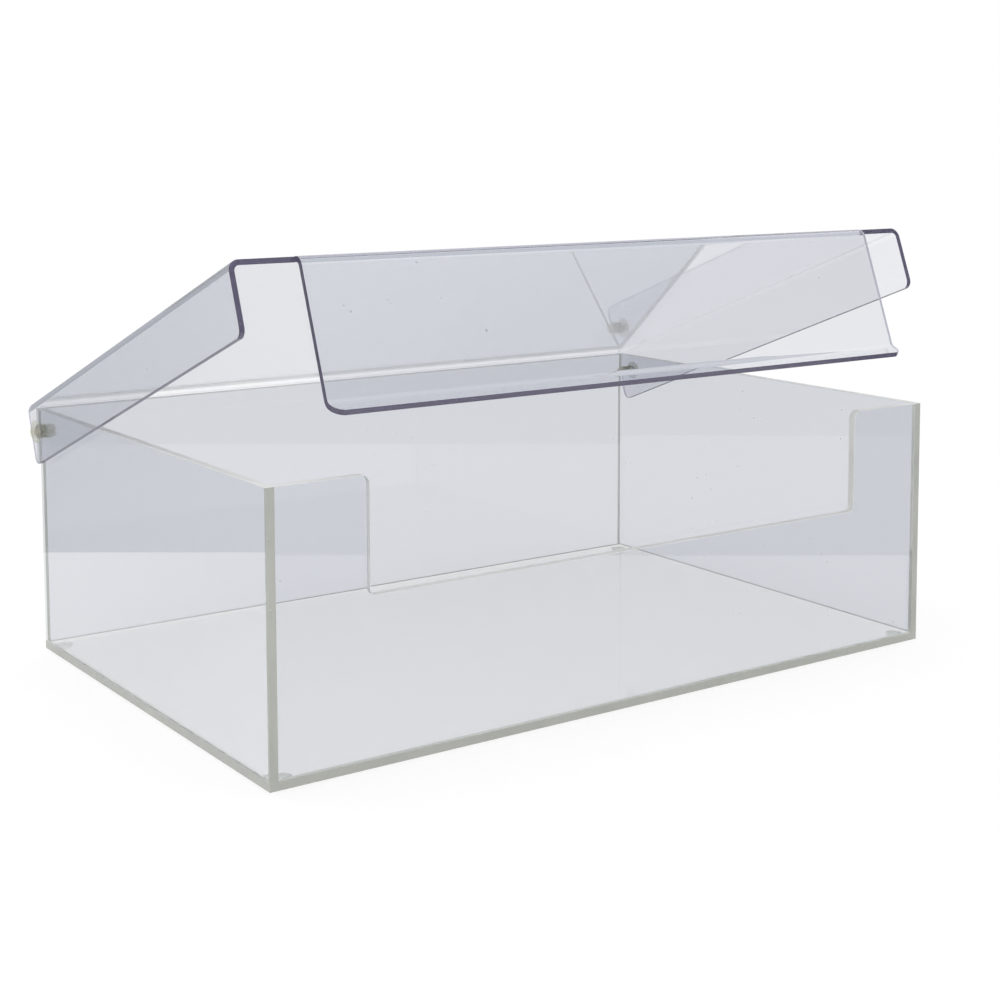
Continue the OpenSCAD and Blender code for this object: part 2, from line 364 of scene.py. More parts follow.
def cemented_joint():
    """Solvent-cemented acrylic: a thin milky film where the two sheets have run together, clear in
    patches, with the small bubbles that the cement left."""
    mat, tree = new_material("Acrylic, cemented joint")
    where = put(tree, "ShaderNodeTexCoord", out="Object")
    bubbles = speckle(tree, where, cell_mm=2.4, share=0.25, size_mm=0.6)
    wet = put(tree, "ShaderNodeTexNoise", {"Vector": where, "Scale": per_metre(14), "Detail": 2.0})
    milky = put(tree, "ShaderNodeMapRange", {"Value": wet, "To Min": 0.3, "To Max": 0.6})
    milk, bubble = linear("#F1F3EE"), linear("#B4B7B2")
    shade = put(tree, "ShaderNodeMix", {MIX_BY: bubbles, MIX_A: milk, MIX_B: bubble}, **OF_COLOURS)
    clear = put(tree, "ShaderNodeBsdfTransparent", {"Color": linear("#FCFCFB")})
    film = put(tree, "ShaderNodeBsdfPrincipled", {"Base Color": shade, "Roughness": 0.4})
    surface = put(tree, "ShaderNodeMixShader", (milky, clear, film))
    put(tree, "ShaderNodeOutputMaterial", {"Surface": surface})
    return mat


def moulded_nylon(name, tint):
    """Injection-moulded natural nylon: milky and half see-through, with a satin skin and flow
    marks. Its faces seen from within add nothing, so thick parts are no milkier than thin ones."""
    mat, tree = new_material(name)
    where = put(tree, "ShaderNodeTexCoord", out="Object")
    flow = put(tree, "ShaderNodeTexNoise", {"Vector": where, "Scale": per_metre(3), "Detail": 3.0})
    bump = put(tree, "ShaderNodeBump", {"Strength": 0.2, "Distance": 0.06 * MM, "Height": flow})
    rough = put(tree, "ShaderNodeMapRange", {"Value": flow, "To Min": 0.28, "To Max": 0.46})
    warm = times(tint, NYLON_WARMTH)
    shade = put(tree, "ShaderNodeMix", {MIX_BY: flow, MIX_A: tint, MIX_B: warm}, **OF_COLOURS)
    satin = {"Base Color": shade, "Roughness": rough, "IOR": NYLON_IOR, "Normal": bump}
    skin = put(tree, "ShaderNodeBsdfPrincipled", satin)
    glow = put(tree, "ShaderNodeBsdfTranslucent", {"Color": shade, "Normal": bump})
    body = put(tree, "ShaderNodeMixShader", (0.5, skin, glow))
    through = put(tree, "ShaderNodeBsdfTransparent", {"Color": linear("#FBFBF6")})
    cloudy = put(tree, "ShaderNodeMapRange", {"Value": flow, "To Min": 0.35, "To Max": 0.55})
    milky = put(tree, "ShaderNodeMixShader", (cloudy, through, body))
    behind = put(tree, "ShaderNodeNewGeometry", out="Backfacing")
    surface = put(tree, "ShaderNodeMixShader", (behind, milky, through))
    put(tree, "ShaderNodeOutputMaterial", {"Surface": surface})
    return mat


def bumper_rubber(tint):
    """Cast polyurethane bumper: clear and soft, faintly cloudy where dust has stuck to it."""
    mat, tree = new_material("Polyurethane bumper, cast")
    where = put(tree, "ShaderNodeTexCoord", out="Object")
    cloud = put(tree, "ShaderNodeTexNoise", {"Vector": where, "Scale": per_metre(2), "Detail": 2.0})
    rough = put(tree, "ShaderNodeMapRange", {"Value": cloud, "To Min": 0.05, "To Max": 0.3})
    satin = {"Base Color": tint, "Roughness": rough, "IOR": POLYURETHANE_IOR}
    body = put(tree, "ShaderNodeBsdfPrincipled", satin)
    through = put(tree, "ShaderNodeBsdfTransparent", {"Color": linear("#FAFBF9")})
    dusty = put(tree, "ShaderNodeMapRange", {"Value": cloud, "To Min": 0.15, "To Max": 0.4})
    surface = put(tree, "ShaderNodeMixShader", (dusty, through, body))
    put(tree, "ShaderNodeOutputMaterial", {"Surface": surface})
    return mat


def as_object(name, bm, materials):
    """A mesh object in the scene, with its place in its mesh."""
    mesh = bpy.data.meshes.new(name)
    bm.to_mesh(mesh)
    bm.free()
    made = bpy.data.objects.new(name, mesh)
    bpy.context.scene.collection.objects.link(made)
    for mat in materials:
        mesh.materials.append(mat)
    return made


def applied(piece):
    """Makes a piece's modifiers part of its mesh."""
    bpy.context.view_layer.update()
    graph = bpy.context.evaluated_depsgraph_get()
    made = bpy.data.meshes.new_from_object(piece.evaluated_get(graph), depsgraph=graph)
    piece.modifiers.clear()
    piece.data = made
    made.name = piece.name
    return made


def settle(piece):
    """Finishes a piece: one closed mesh, faces outwards, bends smooth and sheets flat."""
    made = applied(piece)
    bm = bmesh.new()
    bm.from_mesh(made)
    bmesh.ops.remove_doubles(bm, verts=bm.verts, dist=WELD)
    bmesh.ops.dissolve_degenerate(bm, edges=bm.edges, dist=WELD)
    bmesh.ops.delete(bm, geom=[e for e in bm.edges if e.is_wire], context="EDGES")
    bmesh.ops.recalc_face_normals(bm, faces=bm.faces)
    open_edges = sum(not e.is_manifold for e in bm.edges)
    bm.to_mesh(made)
    bm.free()
    if open_edges:
        raise RuntimeError(f"{piece.name} has {open_edges} open edges")
    made.polygons.foreach_set("use_smooth", [True] * len(made.polygons))
    made.set_sharp_from_angle(angle=CREASE)
    even = piece.modifiers.new("Flat sheets", "WEIGHTED_NORMAL")
    even.keep_sharp = True
    even.weight = 100
    applied(piece)
    return piece


def hand_over(piece, body, slot, *nodes):
    """Tells the frame which body a piece rides on, and hides the parts it stands for. Its slot is
    not used.
    """
    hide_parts(*nodes)
    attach(piece, body)


def break_edges(piece, width, chosen="ANGLE"):
    """Scrapes the corners: all sharp ones, or those that carry a bevel weight."""
    bevel = piece.modifiers.new("Edge break", "BEVEL")
    bevel.width = width
    bevel.segments = 2
    bevel.limit_method = chosen
    bevel.angle_limit = CORNER
    bevel.material = CUT_EDGE


def bored(piece, centre, radius):
    """Drills a hole along X through a piece, and returns the drill, which goes once it has cut."""
    bm = bmesh.new()
    bmesh.ops.create_cone(
        bm,
        cap_ends=True,
        segments=BORE_SIDES,
        radius1=radius,
        radius2=radius,
        depth=DRILL_LENGTH,
        matrix=Matrix.Translation(centre) @ Matrix.Rotation(math.pi / 2, 4, "Y"),
    )
    for face in bm.faces:
        face.material_index = CUT_EDGE
    drill = as_object("drill", bm, piece.data.materials)
    cut = piece.modifiers.new("Bore", "BOOLEAN")
    cut.object = drill
    cut.solver = "EXACT"
    return drill


def holds(box, point):
    """Whether a box has a point in it or on it."""
    low, high = box
    return all(low[i] - TOUCH <= point[i] <= high[i] + TOUCH for i in range(3))


def on_rim(centre, normal, thin):
    """Whether a cut edge takes the rim's painted highlight: it faces up, as the tank's top rim
    does, or lies in the front's cut-out.
    """
    in_cutout = thin == 1 and abs(centre.x) < WALL[0].x - 1 * MM
    return in_cutout or normal.z > FACES_UP


def mark_faces(bm, thin, neighbours):
    """Tells sheet faces, cut edges, rims and cemented joints apart by where they face and what they
    touch. Only corners that no joint runs along are left to be scraped."""
    bmesh.ops.recalc_face_normals(bm, faces=bm.faces)
    for face in bm.faces:
        if any(holds(box, face.calc_center_median()) for box in neighbours):
            face.material_index = JOINT
        elif abs(face.normal[thin]) > FACES_SHEET:
            face.material_index = SHEET
        else:
            # Cut edges that face up, and the cut-out's, take the rim's lighter colour: a painted
            # highlight
            scraped = on_rim(face.calc_center_median(), face.normal, thin)
            face.material_index = RIM if scraped else CUT_EDGE
    weight = bm.edges.layers.float.new("bevel_weight_edge")
    for edge in bm.edges:
        joined = any(face.material_index == JOINT for face in edge.link_faces)
        edge[weight] = float(not joined and edge.calc_face_angle() > CORNER)


def box_sheet(box, neighbours):
    """A flat sheet, divided where its neighbours meet it."""
    low, high = box
    bm = bmesh.new()
    middle = Matrix.Translation((low + high) / 2)
    bmesh.ops.create_cube(bm, size=1, matrix=middle @ Matrix.Diagonal((*(high - low), 1)))
    for other in neighbours:
        for corner in other:
            for axis in range(3):
                if low[axis] + SHORTEST_CUT < corner[axis] < high[axis] - SHORTEST_CUT:
                    away = Vector([float(i == axis) for i in range(3)])
                    bmesh.ops.bisect_plane(
                        bm,
                        geom=bm.verts[:] + bm.edges[:] + bm.faces[:],
                        dist=WELD,
                        plane_co=away * corner[axis],
                        plane_no=away,
                    )
    return bm


def arc(centre, radius, start, stop, steps):
    """Points round part of a circle, in degrees."""
    x, y = centre
    turns = [math.radians(start + (stop - start) * i / steps) for i in range(steps + 1)]
    return [Vector((x + radius * math.cos(t), y + radius * math.sin(t))) for t in turns]


def front_outline(tank):
    """The front panel in XZ: a low strip between two tabs with rounded corners."""
    right, bottom, top = FRONT[1].x, FRONT[0].z, FRONT[1].z
    inner = WALL[1].x - tank.tab
    sill = top - tank.cutout
    r, q = tank.tab_round, tank.cutout_round
    half = [Vector((right, bottom)), Vector((right, top))]
    half += arc((inner + r, top - r), r, 90, 180, steps=8)
    half += arc((inner - q, sill + q), q, 0, -90, steps=6)
    return half + [Vector((-p.x, p.y)) for p in reversed(half)]


def front_sheet(tank):
    """The front panel: its outline, taken back through the sheet's thickness."""
    bm = bmesh.new()
    ring = [bm.verts.new((p.x, FRONT[0].y, p.y)) for p in front_outline(tank)]
    face = bm.faces.new(ring)
    depth = Vector((0, FRONT[1].y - FRONT[0].y, 0))
    grown = bmesh.ops.extrude_face_region(bm, geom=[face], use_keep_orig=True)["geom"]
    inner = [v for v in grown if isinstance(v, bmesh.types.BMVert)]
    bmesh.ops.translate(bm, verts=inner, vec=depth)
    return bm


def trimmed(end, radius, rise):
    """How far a rounded corner takes an edge back, at a height above the sheet's lower edge."""
    if rise >= radius:
        return 0.0
    return end * (radius - math.sqrt(radius**2 - (radius - rise) ** 2))


def corner_rises(radius, steps=5):
    """Heights at which a rounded corner's points lie, evenly spaced round it."""
    return [radius * (1 - math.cos(math.pi / 2 * i / steps)) for i in range(steps + 1)]


def lid_surface(lid):
    """The lid's outer face with the lid square and the hinge at the origin: a wide channel, and a
    front flap that ends in a lip.

    Each station across the lid has its X, its Z and how far it lies above the side flap's edge."""
    bend_out = lid.bend + lid.thickness
    half = -LID[0].x
    foot = lid.top - lid.side_flap
    front = -(HINGE.y - FRONT[0].y) - lid.front_gap - lid.thickness
    hole = lid.bore + HOLE_MARGIN
    flap = half - lid.inset
    above = lid.side_flap
    rises = corner_rises(lid.side_round) + [-hole - foot, hole - foot]
    bend = arc((half - bend_out, lid.top - bend_out), bend_out, 0, 90, lid.bend_steps)
    side = [(half, foot + s, s) for s in rises] + [(p.x, p.y, above) for p in bend]
    stations = [(-x, z, s) for x, z, s in side]
    stations += [(-flap, lid.top, above), (flap, lid.top, above)] + side[::-1]
    lines = [front + bend_out, -hole, hole, lid.overhang]
    strip = len(rises) - 2
    bm = bmesh.new()
    rows = []
    for x, z, rise in stations:
        row = []
        for y in lines:
            end = {lines[0]: 1, lines[-1]: -1}.get(y, 0)
            row.append(bm.verts.new((x, y + trimmed(end, lid.side_round, rise), z)))
        rows.append(row)
    for i in range(len(rows) - 1):
        for j in range(len(lines) - 1):
            cell = [rows[i][j], rows[i + 1][j], rows[i + 1][j + 1], rows[i][j + 1]]
            if j != 1 or strip not in (i, len(rows) - 2 - i):
                bm.faces.new(cell)
    for i in (strip, len(rows) - 2 - strip):
        cell = [rows[i][1], rows[i + 1][1], rows[i + 1][2], rows[i][2]]
        ring_patch(bm, cell, lid.bore)
    front_flap(bm, lid, front, (rows[len(side)][0], rows[len(side) + 1][0]))
    bmesh.ops.remove_doubles(bm, verts=bm.verts, dist=WELD)
    return bm


def ring_patch(bm, corners, radius):
    """Fills a square cell round a hole at Y = Z = 0, in the plane of its corners."""
    turns = [2 * math.pi * i / BORE_SIDES for i in range(BORE_SIDES)]
    x = corners[0].co.x
    hole = [bm.verts.new((x, radius * math.cos(t), radius * math.sin(t))) for t in turns]
    edges = [bm.edges.new((hole[i - 1], hole[i])) for i in range(BORE_SIDES)]
    for i in range(4):
        pair = (corners[i - 1], corners[i])
        edges.append(bm.edges.get(pair) or bm.edges.new(pair))
    bmesh.ops.triangle_fill(bm, edges=edges, use_beauty=True)


def front_flap(bm, lid, front, start):
    """Carries the outer face on from the top: the front bend, the flap, the lip's bend, the lip."""
    bend_out = lid.bend + lid.thickness
    half = abs(start[0].co.x)
    sill = lid.top - lid.front_flap
    turn = math.degrees(lid.lip_angle)
    path = arc((front + bend_out, lid.top - bend_out), bend_out, 90, 180, lid.bend_steps)[1:]
    path += arc((front - lid.bend, sill), lid.bend, 0, -turn, lid.bend_steps // 2)
    end = path[-1]
    heading = Vector((-math.sin(lid.lip_angle), -math.cos(lid.lip_angle)))
    ends = [half] * len(path)
    for rise in reversed(corner_rises(lid.lip_round)):
        path.append(end + heading * (lid.lip - rise))
        ends.append(half - trimmed(1, lid.lip_round, rise))
    last = start
    for p, reach in zip(path, ends):
        pair = (bm.verts.new((-reach, p.x, p.y)), bm.verts.new((reach, p.x, p.y)))
        bm.faces.new((last[0], pair[0], pair[1], last[1]))
        last = pair


def turned_tree(name, sizes, profile, places, slots=None):
    """A Geometry Nodes tree that turns a closed profile on the X axis and sets it at each place.

    profile gives (along, radius) pairs from the tree's named sizes, and slots the boxes that are
    cut from what it makes."""
    tree = bpy.data.node_groups.new(name, "GeometryNodeTree")
    tree.interface.new_socket("Geometry", in_out="OUTPUT", socket_type="NodeSocketGeometry")
    inputs = {size: "NodeSocketFloat" for size in sizes}
    inputs |= {"Sides": "NodeSocketInt", "Material": "NodeSocketMaterial"}
    for label, kind in inputs.items():
        tree.interface.new_socket(label, in_out="INPUT", socket_type=kind)
    group = tree.nodes.new("NodeGroupInput")
    given = {s.name: s for s in group.outputs if s.name}
    stations = profile(tree, given)
    columns = put(tree, "ShaderNodeMath", (given["Sides"], 1.0), operation="ADD")
    grid_size = {"Vertices X": len(stations) + 1, "Vertices Y": columns}
    grid = put(tree, "GeometryNodeMeshGrid", grid_size)
    index = put(tree, "GeometryNodeInputIndex")
    middle = put(tree, "ShaderNodeMath", (index, 0.5), operation="ADD")
    share = put(tree, "ShaderNodeMath", (middle, columns), operation="DIVIDE")
    row = put(tree, "ShaderNodeMath", (share,), operation="FLOOR")
    station = put(tree, "ShaderNodeMath", (row, float(len(stations))), operation="MODULO")
    start = put(tree, "ShaderNodeMath", (row, columns), operation="MULTIPLY")
    column = put(tree, "ShaderNodeMath", (index, start), operation="SUBTRACT")
    step = put(tree, "ShaderNodeMath", (2 * math.pi, given["Sides"]), operation="DIVIDE")
    angle = put(tree, "ShaderNodeMath", (column, step), operation="MULTIPLY")
    along, radius = (
        put(tree, "GeometryNodeIndexSwitch", (station, *values), data_type="FLOAT")
        for values in zip(*stations)
    )
    cosine = put(tree, "ShaderNodeMath", (angle,), operation="COSINE")
    sine = put(tree, "ShaderNodeMath", (angle,), operation="SINE")
    y = put(tree, "ShaderNodeMath", (radius, cosine), operation="MULTIPLY")
    z = put(tree, "ShaderNodeMath", (radius, sine), operation="MULTIPLY")
    spot = put(tree, "ShaderNodeCombineXYZ", (along, y, z))
    shape = put(tree, "GeometryNodeSetPosition", {"Geometry": grid, "Position": spot})
    shape = put(tree, "GeometryNodeMergeByDistance", {"Geometry": shape, "Distance": WELD})
    if slots:
        for cutter in slots(tree, given):
            pair = {"Mesh 1": shape, "Mesh 2": cutter}
            shape = put(tree, "GeometryNodeMeshBoolean", pair, operation="DIFFERENCE")
    copies = tree.nodes.new("GeometryNodeJoinGeometry")
    for place, turn in places:
        moved = {"Geometry": shape, "Translation": place, "Rotation": turn}
        tree.links.new(put(tree, "GeometryNodeTransform", moved), copies.inputs[0])
    real = put(tree, "GeometryNodeRealizeInstances", (copies.outputs[0],))
    finish = {"Geometry": real, "Material": given["Material"]}
    put(tree, "NodeGroupOutput", (put(tree, "GeometryNodeSetMaterial", finish),))
    return tree


def grown(name, tree, values, mat):
    """A plain mesh from a tree: its inputs are set by identifier, it is evaluated and kept."""
    piece = as_object(name, bmesh.new(), [])
    modifier = piece.modifiers.new("Nodes", "NODES")
    modifier.node_group = tree
    for item in tree.interface.items_tree:
        if item.in_out == "INPUT":
            modifier[item.identifier] = mat if item.name == "Material" else values[item.name]
    return settle(piece)


class BIN_OT_tank(bpy.types.Operator):
    """Makes the tank's five cemented sheets"""

    bl_idname = "bin.tank"
    bl_label = "Tank sheets"

    def execute(self, context):
        tank = context.scene.bin_tank
        clear, grey, floor = (
            polished_sheet(f"Acrylic sheet, extruded, {variant}", tuple(tint), ACRYLIC_IOR, dust=0.5)
            for variant, tint in (
                ("clear", tank.tint), ("greyer, painted shade", tank.painted_shade_tint), ("base", tank.base_tint)
            )
        )
        edge, rim = (
            sawn_edge(name, tuple(tint), tuple(tank.within), ACRYLIC_IOR, clear=0.12)
            for name, tint in (
                ("Acrylic, sawn edge", tank.edge), ("Acrylic, sawn rim, painted highlight", tank.rim)
            )
        )
        joint = cemented_joint()
        # The back and right sheets take the greyer tint, which is painted shade for the darker room
        # behind them
        # The base's clearer tint is painted light against the floor's shadow under it
        sheets = {"base_plate": floor, "back_wall": grey, "right_wall": grey}
        boxes = {node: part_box(node) for node in TANK_SHEETS}
        for node, thin in TANK_SHEETS.items():
            box = boxes[node]
            neighbours = [b for n, b in boxes.items() if n != node]
            bm = front_sheet(tank) if node == "front_panel" else box_sheet(box, neighbours)
            mark_faces(bm, thin, neighbours)
            finishes = (sheets.get(node, clear), edge, joint, rim)
            piece = as_object(f"{node}_sheet", bm, finishes)
            drill = None
            if thin == 0:
                middle = (box[0].x + box[1].x) / 2
                drill = bored(piece, Vector((middle, HINGE.y, HINGE.z)), tank.bore)
            break_edges(piece, tank.edge_break, "WEIGHT")
            settle(piece)
            # Edge-break faces that face up, or lie in the cut-out, take the rim's painted highlight
            # too
            for face in piece.data.polygons:
                if face.material_index == CUT_EDGE and on_rim(face.center, face.normal, thin):
                    face.material_index = RIM
            if drill:
                bpy.data.objects.remove(drill)
            hand_over(piece, "tank", "clear_acrylic", node)
        return {"FINISHED"}


class BIN_OT_lid(bpy.types.Operator):
    """Makes the lid from one sheet with four bends"""

    bl_idname = "bin.lid"
    bl_label = "Bent-sheet lid"

    def execute(self, context):
        lid = context.scene.bin_lid
        sheet = polished_sheet(
            "Copolyester sheet, line-bent", tuple(lid.tint), COPOLYESTER_IOR, dust=0.3
        )
        edge = sawn_edge(
            "Copolyester, sawn edge", tuple(lid.edge), tuple(lid.within), COPOLYESTER_IOR, clear=0.3
        )
        bm = lid_surface(lid)
        swing = Matrix.Translation(HINGE) @ Matrix.Rotation(-lid.rest, 4, "X")
        bmesh.ops.transform(bm, matrix=swing, verts=bm.verts)
        piece = as_object("lid_sheet", bm, (sheet, edge))
        wall = piece.modifiers.new("Sheet", "SOLIDIFY")
        wall.thickness = lid.thickness
        wall.offset = -1
        wall.use_even_offset = True
        wall.material_offset_rim = CUT_EDGE
        break_edges(piece, lid.edge_break)
        settle(piece)
        hand_over(piece, "lid", "clear_lid_sheet", "lid")
        return {"FINISHED"}


class BIN_OT_rivets(bpy.types.Operator):
    """Makes the two push rivets that the lid turns on, with their drive pins"""

    bl_idname = "bin.rivets"
    bl_label = "Hinge rivets"

    def execute(self, context):
        kit = context.scene.bin_hardware
        head_out = RIVET[1].x
        head_in = head_out - kit.head_height
        wall_in, tip = WALL[0].x, RIVET[0].x
        places = [((0, HINGE.y, HINGE.z), (0, 0, turn)) for turn in (0, math.pi)]

        def rivet_profile(tree, size):
            """Split legs that spread behind the wall, the shank, and a round head outside."""
            legs, head_foot, shoulder, crown = (
                put(tree, "ShaderNodeMath", (size[whole], share), operation="MULTIPLY")
                for whole, share in RIVET_RADII
            )
            crest = put(tree, "ShaderNodeMath", (size["Shank"], size["Flare"]), operation="ADD")
            foot_end, side_end, shoulder_at = (head_in + kit.head_height * h for h in HEAD_STEPS)
            return [
                (tip, size["Bore"]),
                (tip, legs),
                (wall_in - CREST * (wall_in - tip), crest),
                (wall_in, size["Shank"]),
                (head_in, size["Shank"]),
                (head_in, head_foot),
                (foot_end, size["Head"]),
                (side_end, size["Head"]),
                (shoulder_at, shoulder),
                (head_out, crown),
                (head_out, size["Bore"]),
            ]

        def leg_slots(tree, size):
            """Two crossed slots, from past the tips to half-way through the wall."""
            past_tip, reach = 2 * MM, 14 * MM
            run = (WALL[0].x + WALL[1].x) / 2 - tip + past_tip
            spot = (tip - past_tip + run / 2, 0.0, 0.0)
            for turn in (0.0, math.pi / 2):
                shape = put(tree, "ShaderNodeCombineXYZ", (run, size["Slot"], reach))
                cube = put(tree, "GeometryNodeMeshCube", {"Size": shape})
                turned = {"Geometry": cube, "Translation": spot, "Rotation": (turn, 0, 0)}
                yield put(tree, "GeometryNodeTransform", turned)

        def pin_profile(tree, size):
            """A plain pin with a tapered point and a low domed head."""
            dome, point = (
                put(tree, "ShaderNodeMath", (size[whole], share), operation="MULTIPLY")
                for whole, share in PIN_RADII
            )
            end, out = PIN[0].x, PIN[1].x
            return [
                (end, 0.0),
                (end, point),
                (end + PIN_TAPER, size["Pin"]),
                (head_out, size["Pin"]),
                (head_out, size["Pin head"]),
                ((head_out + out) / 2, size["Pin head"]),
                (out, dome),
                (out, 0.0),
            ]

        sizes = {
            "Shank": kit.shank,
            "Flare": kit.flare,
            "Slot": kit.slot,
            "Head": kit.head,
            "Bore": kit.pin + kit.pin_clear,
        }
        rivet = turned_tree("Push rivet", sizes, rivet_profile, places, leg_slots)
        nylon = moulded_nylon("Nylon, natural, injection-moulded", tuple(kit.nylon))
        piece = grown("hinge_rivets", rivet, sizes | {"Sides": kit.sides}, nylon)
        hand_over(piece, "tank", "natural_nylon", "left_rivet", "right_rivet")
        sizes = {"Pin": kit.pin, "Pin head": kit.pin_head}
        pin = turned_tree("Drive pin", sizes, pin_profile, places)
        nylon = moulded_nylon("Nylon, drive pin, injection-moulded", tuple(kit.pin_nylon))
        piece = grown("hinge_drive_pins", pin, sizes | {"Sides": kit.sides}, nylon)
        hand_over(piece, "tank", "nylon_pin", "left_rivet_pin", "right_rivet_pin")
        return {"FINISHED"}


class BIN_OT_feet(bpy.types.Operator):
    """Makes the four bumper feet"""

    bl_idname = "bin.feet"
    bl_label = "Bumper feet"

    def execute(self, context):
        kit = context.scene.bin_hardware
        low, high = FOOT
        centre = (low + high) / 2
        height = high.z - low.z
        sizes = {"Radius": (high.x - low.x) / 2}

        def foot_profile(tree, size):
            """Widest where it sticks to the base, and rounded towards its sole."""
            sole, rounded = (
                put(tree, "ShaderNodeMath", (size[whole], share), operation="MULTIPLY")
                for whole, share in FOOT_RADII
            )
            return [
                (0.0, 0.0),
                (0.0, sole),
                (FOOT_ROUND * height, rounded),
                (height, size["Radius"]),
                (height, 0.0),
            ]

        upright = (0, -math.pi / 2, 0)
        places = [
            ((side * centre.x, end * centre.y, 0.0), upright) for side in (-1, 1) for end in (-1, 1)
        ]
        foot = turned_tree("Bumper foot", sizes, foot_profile, places)
        rubber = bumper_rubber(tuple(kit.bumper))
        piece = grown("bumper_feet", foot, sizes | {"Sides": kit.sides}, rubber)
        nodes = [f"foot_{y}_{x}" for y in ("front", "back") for x in ("left", "right")]
        hand_over(piece, "tank", "clear_bumper", *nodes)
        return {"FINISHED"}


def seen_directly(tree):
    """1 for rays from the camera, in mirrors and through clear pieces, 0 for light on matt ones."""
    path = put(tree, "ShaderNodeLightPath", out=None)
    kinds = [path[n] for n in ("Is Camera Ray", "Is Glossy Ray", "Is Transmission Ray")]
    either = put(tree, "ShaderNodeMath", kinds[:2], operation="MAXIMUM")
    return put(tree, "ShaderNodeMath", (either, kinds[2]), operation="MAXIMUM")


def studio_room(studio):
    """White at eye level and below, as the backdrop is, and greyer overhead in what the sheets
    show. Matt surfaces are lit evenly, behind clear sheets too."""
    world = bpy.data.worlds.new("Studio")
    bpy.context.scene.world = world
    world.use_nodes = True
    tree = world.node_tree
    tree.nodes.clear()
    heading = put(tree, "ShaderNodeTexCoord", out="Generated")
    height = put(tree, "ShaderNodeSeparateXYZ", (heading,), out="Z")
    up = put(
        tree,
        "ShaderNodeMapRange",
        {"Value": height, "From Min": math.sin(GREY_FROM), "From Max": math.sin(GREY_TO)},
        interpolation_type="SMOOTHSTEP",
    )
    path = put(tree, "ShaderNodeLightPath", out=None)
    by_sheets = put(tree, "ShaderNodeMath", (1.0, path["Is Camera Ray"]), operation="SUBTRACT")
    grey = put(tree, "ShaderNodeMath", (up, by_sheets), operation="MULTIPLY")
    ceiling = tuple(studio.ceiling)
    shade = put(tree, "ShaderNodeMix", {MIX_BY: grey, MIX_A: WHITE, MIX_B: ceiling}, **OF_COLOURS)
    room = put(tree, "ShaderNodeBackground", {"Color": shade, "Strength": 1.0})
    even = put(tree, "ShaderNodeBackground", {"Color": WHITE, "Strength": studio.fill})
    no_matt = put(tree, "ShaderNodeMath", (path["Diffuse Depth"], 0.5), operation="LESS_THAN")
    seen = put(tree, "ShaderNodeMath", (seen_directly(tree), no_matt), operation="MULTIPLY")
    both = put(tree, "ShaderNodeMixShader", (seen, even, room))
    put(tree, "ShaderNodeOutputWorld", {"Surface": both})


def studio_floor(studio):
    """Matt white paper: the object's shadow on it is kept, and the rest is lifted to white where it
    is seen. Its fibres are finer than the 2 mm here, which is as coarse as they need to show."""
    mat, tree = new_material("Paper, matt white")
    where = put(tree, "ShaderNodeTexCoord", out="Object")
    fibre = put(tree, "ShaderNodeTexNoise", {"Vector": where, "Scale": per_metre(2), "Detail": 2.0})
    bump = put(tree, "ShaderNodeBump", {"Strength": 0.05, "Distance": 0.05 * MM, "Height": fibre})
    seen = seen_directly(tree)
    full, faint = tuple(studio.floor), times(studio.floor, PAPER_SHADE)
    shade = put(tree, "ShaderNodeMix", {MIX_BY: seen, MIX_A: full, MIX_B: faint}, **OF_COLOURS)
    paper = put(tree, "ShaderNodeBsdfDiffuse", {"Color": shade, "Normal": bump})
    lift = put(tree, "ShaderNodeMath", (seen, PAPER_LIFT), operation="MULTIPLY")
    glow = put(tree, "ShaderNodeEmission", {"Color": WHITE, "Strength": lift})
    surface = put(tree, "ShaderNodeAddShader", (paper, glow))
    put(tree, "ShaderNodeOutputMaterial", {"Surface": surface})
    bm = bmesh.new()
    bmesh.ops.create_grid(bm, x_segments=1, y_segments=1, size=FLOOR_REACH)
    floor = as_object("studio_floor", bm, (mat,))


def flag_material(name, tint):
    """A matt board that only mirrors show, and that fades out towards its sides and its top."""
    mat, tree = new_material(name)
    mirrors = put(tree, "ShaderNodeLightPath", out="Glossy Depth")
    mirrored = put(tree, "ShaderNodeMath", (mirrors, 0.5), operation="GREATER_THAN")
    fade = put(tree, "ShaderNodeTexCoord", out="UV")
    place = put(tree, "ShaderNodeSeparateXYZ", (fade,), out=None)
    for axis, start in FLAG_FADES:
        off = put(tree, "ShaderNodeMath", (place[axis],), operation="ABSOLUTE")
        kept = put(
            tree,
            "ShaderNodeMapRange",
            {"Value": off, "From Min": start, "From Max": 1.0, "To Min": 1.0, "To Max": 0.0},
            interpolation_type="SMOOTHSTEP",
        )
        mirrored = put(tree, "ShaderNodeMath", (mirrored, kept), operation="MULTIPLY")
    clear = put(tree, "ShaderNodeBsdfTransparent")
    board = put(tree, "ShaderNodeEmission", {"Color": tint, "Strength": 1.0})
    surface = put(tree, "ShaderNodeMixShader", (mirrored, clear, board))
    put(tree, "ShaderNodeOutputMaterial", {"Surface": surface})
    return mat


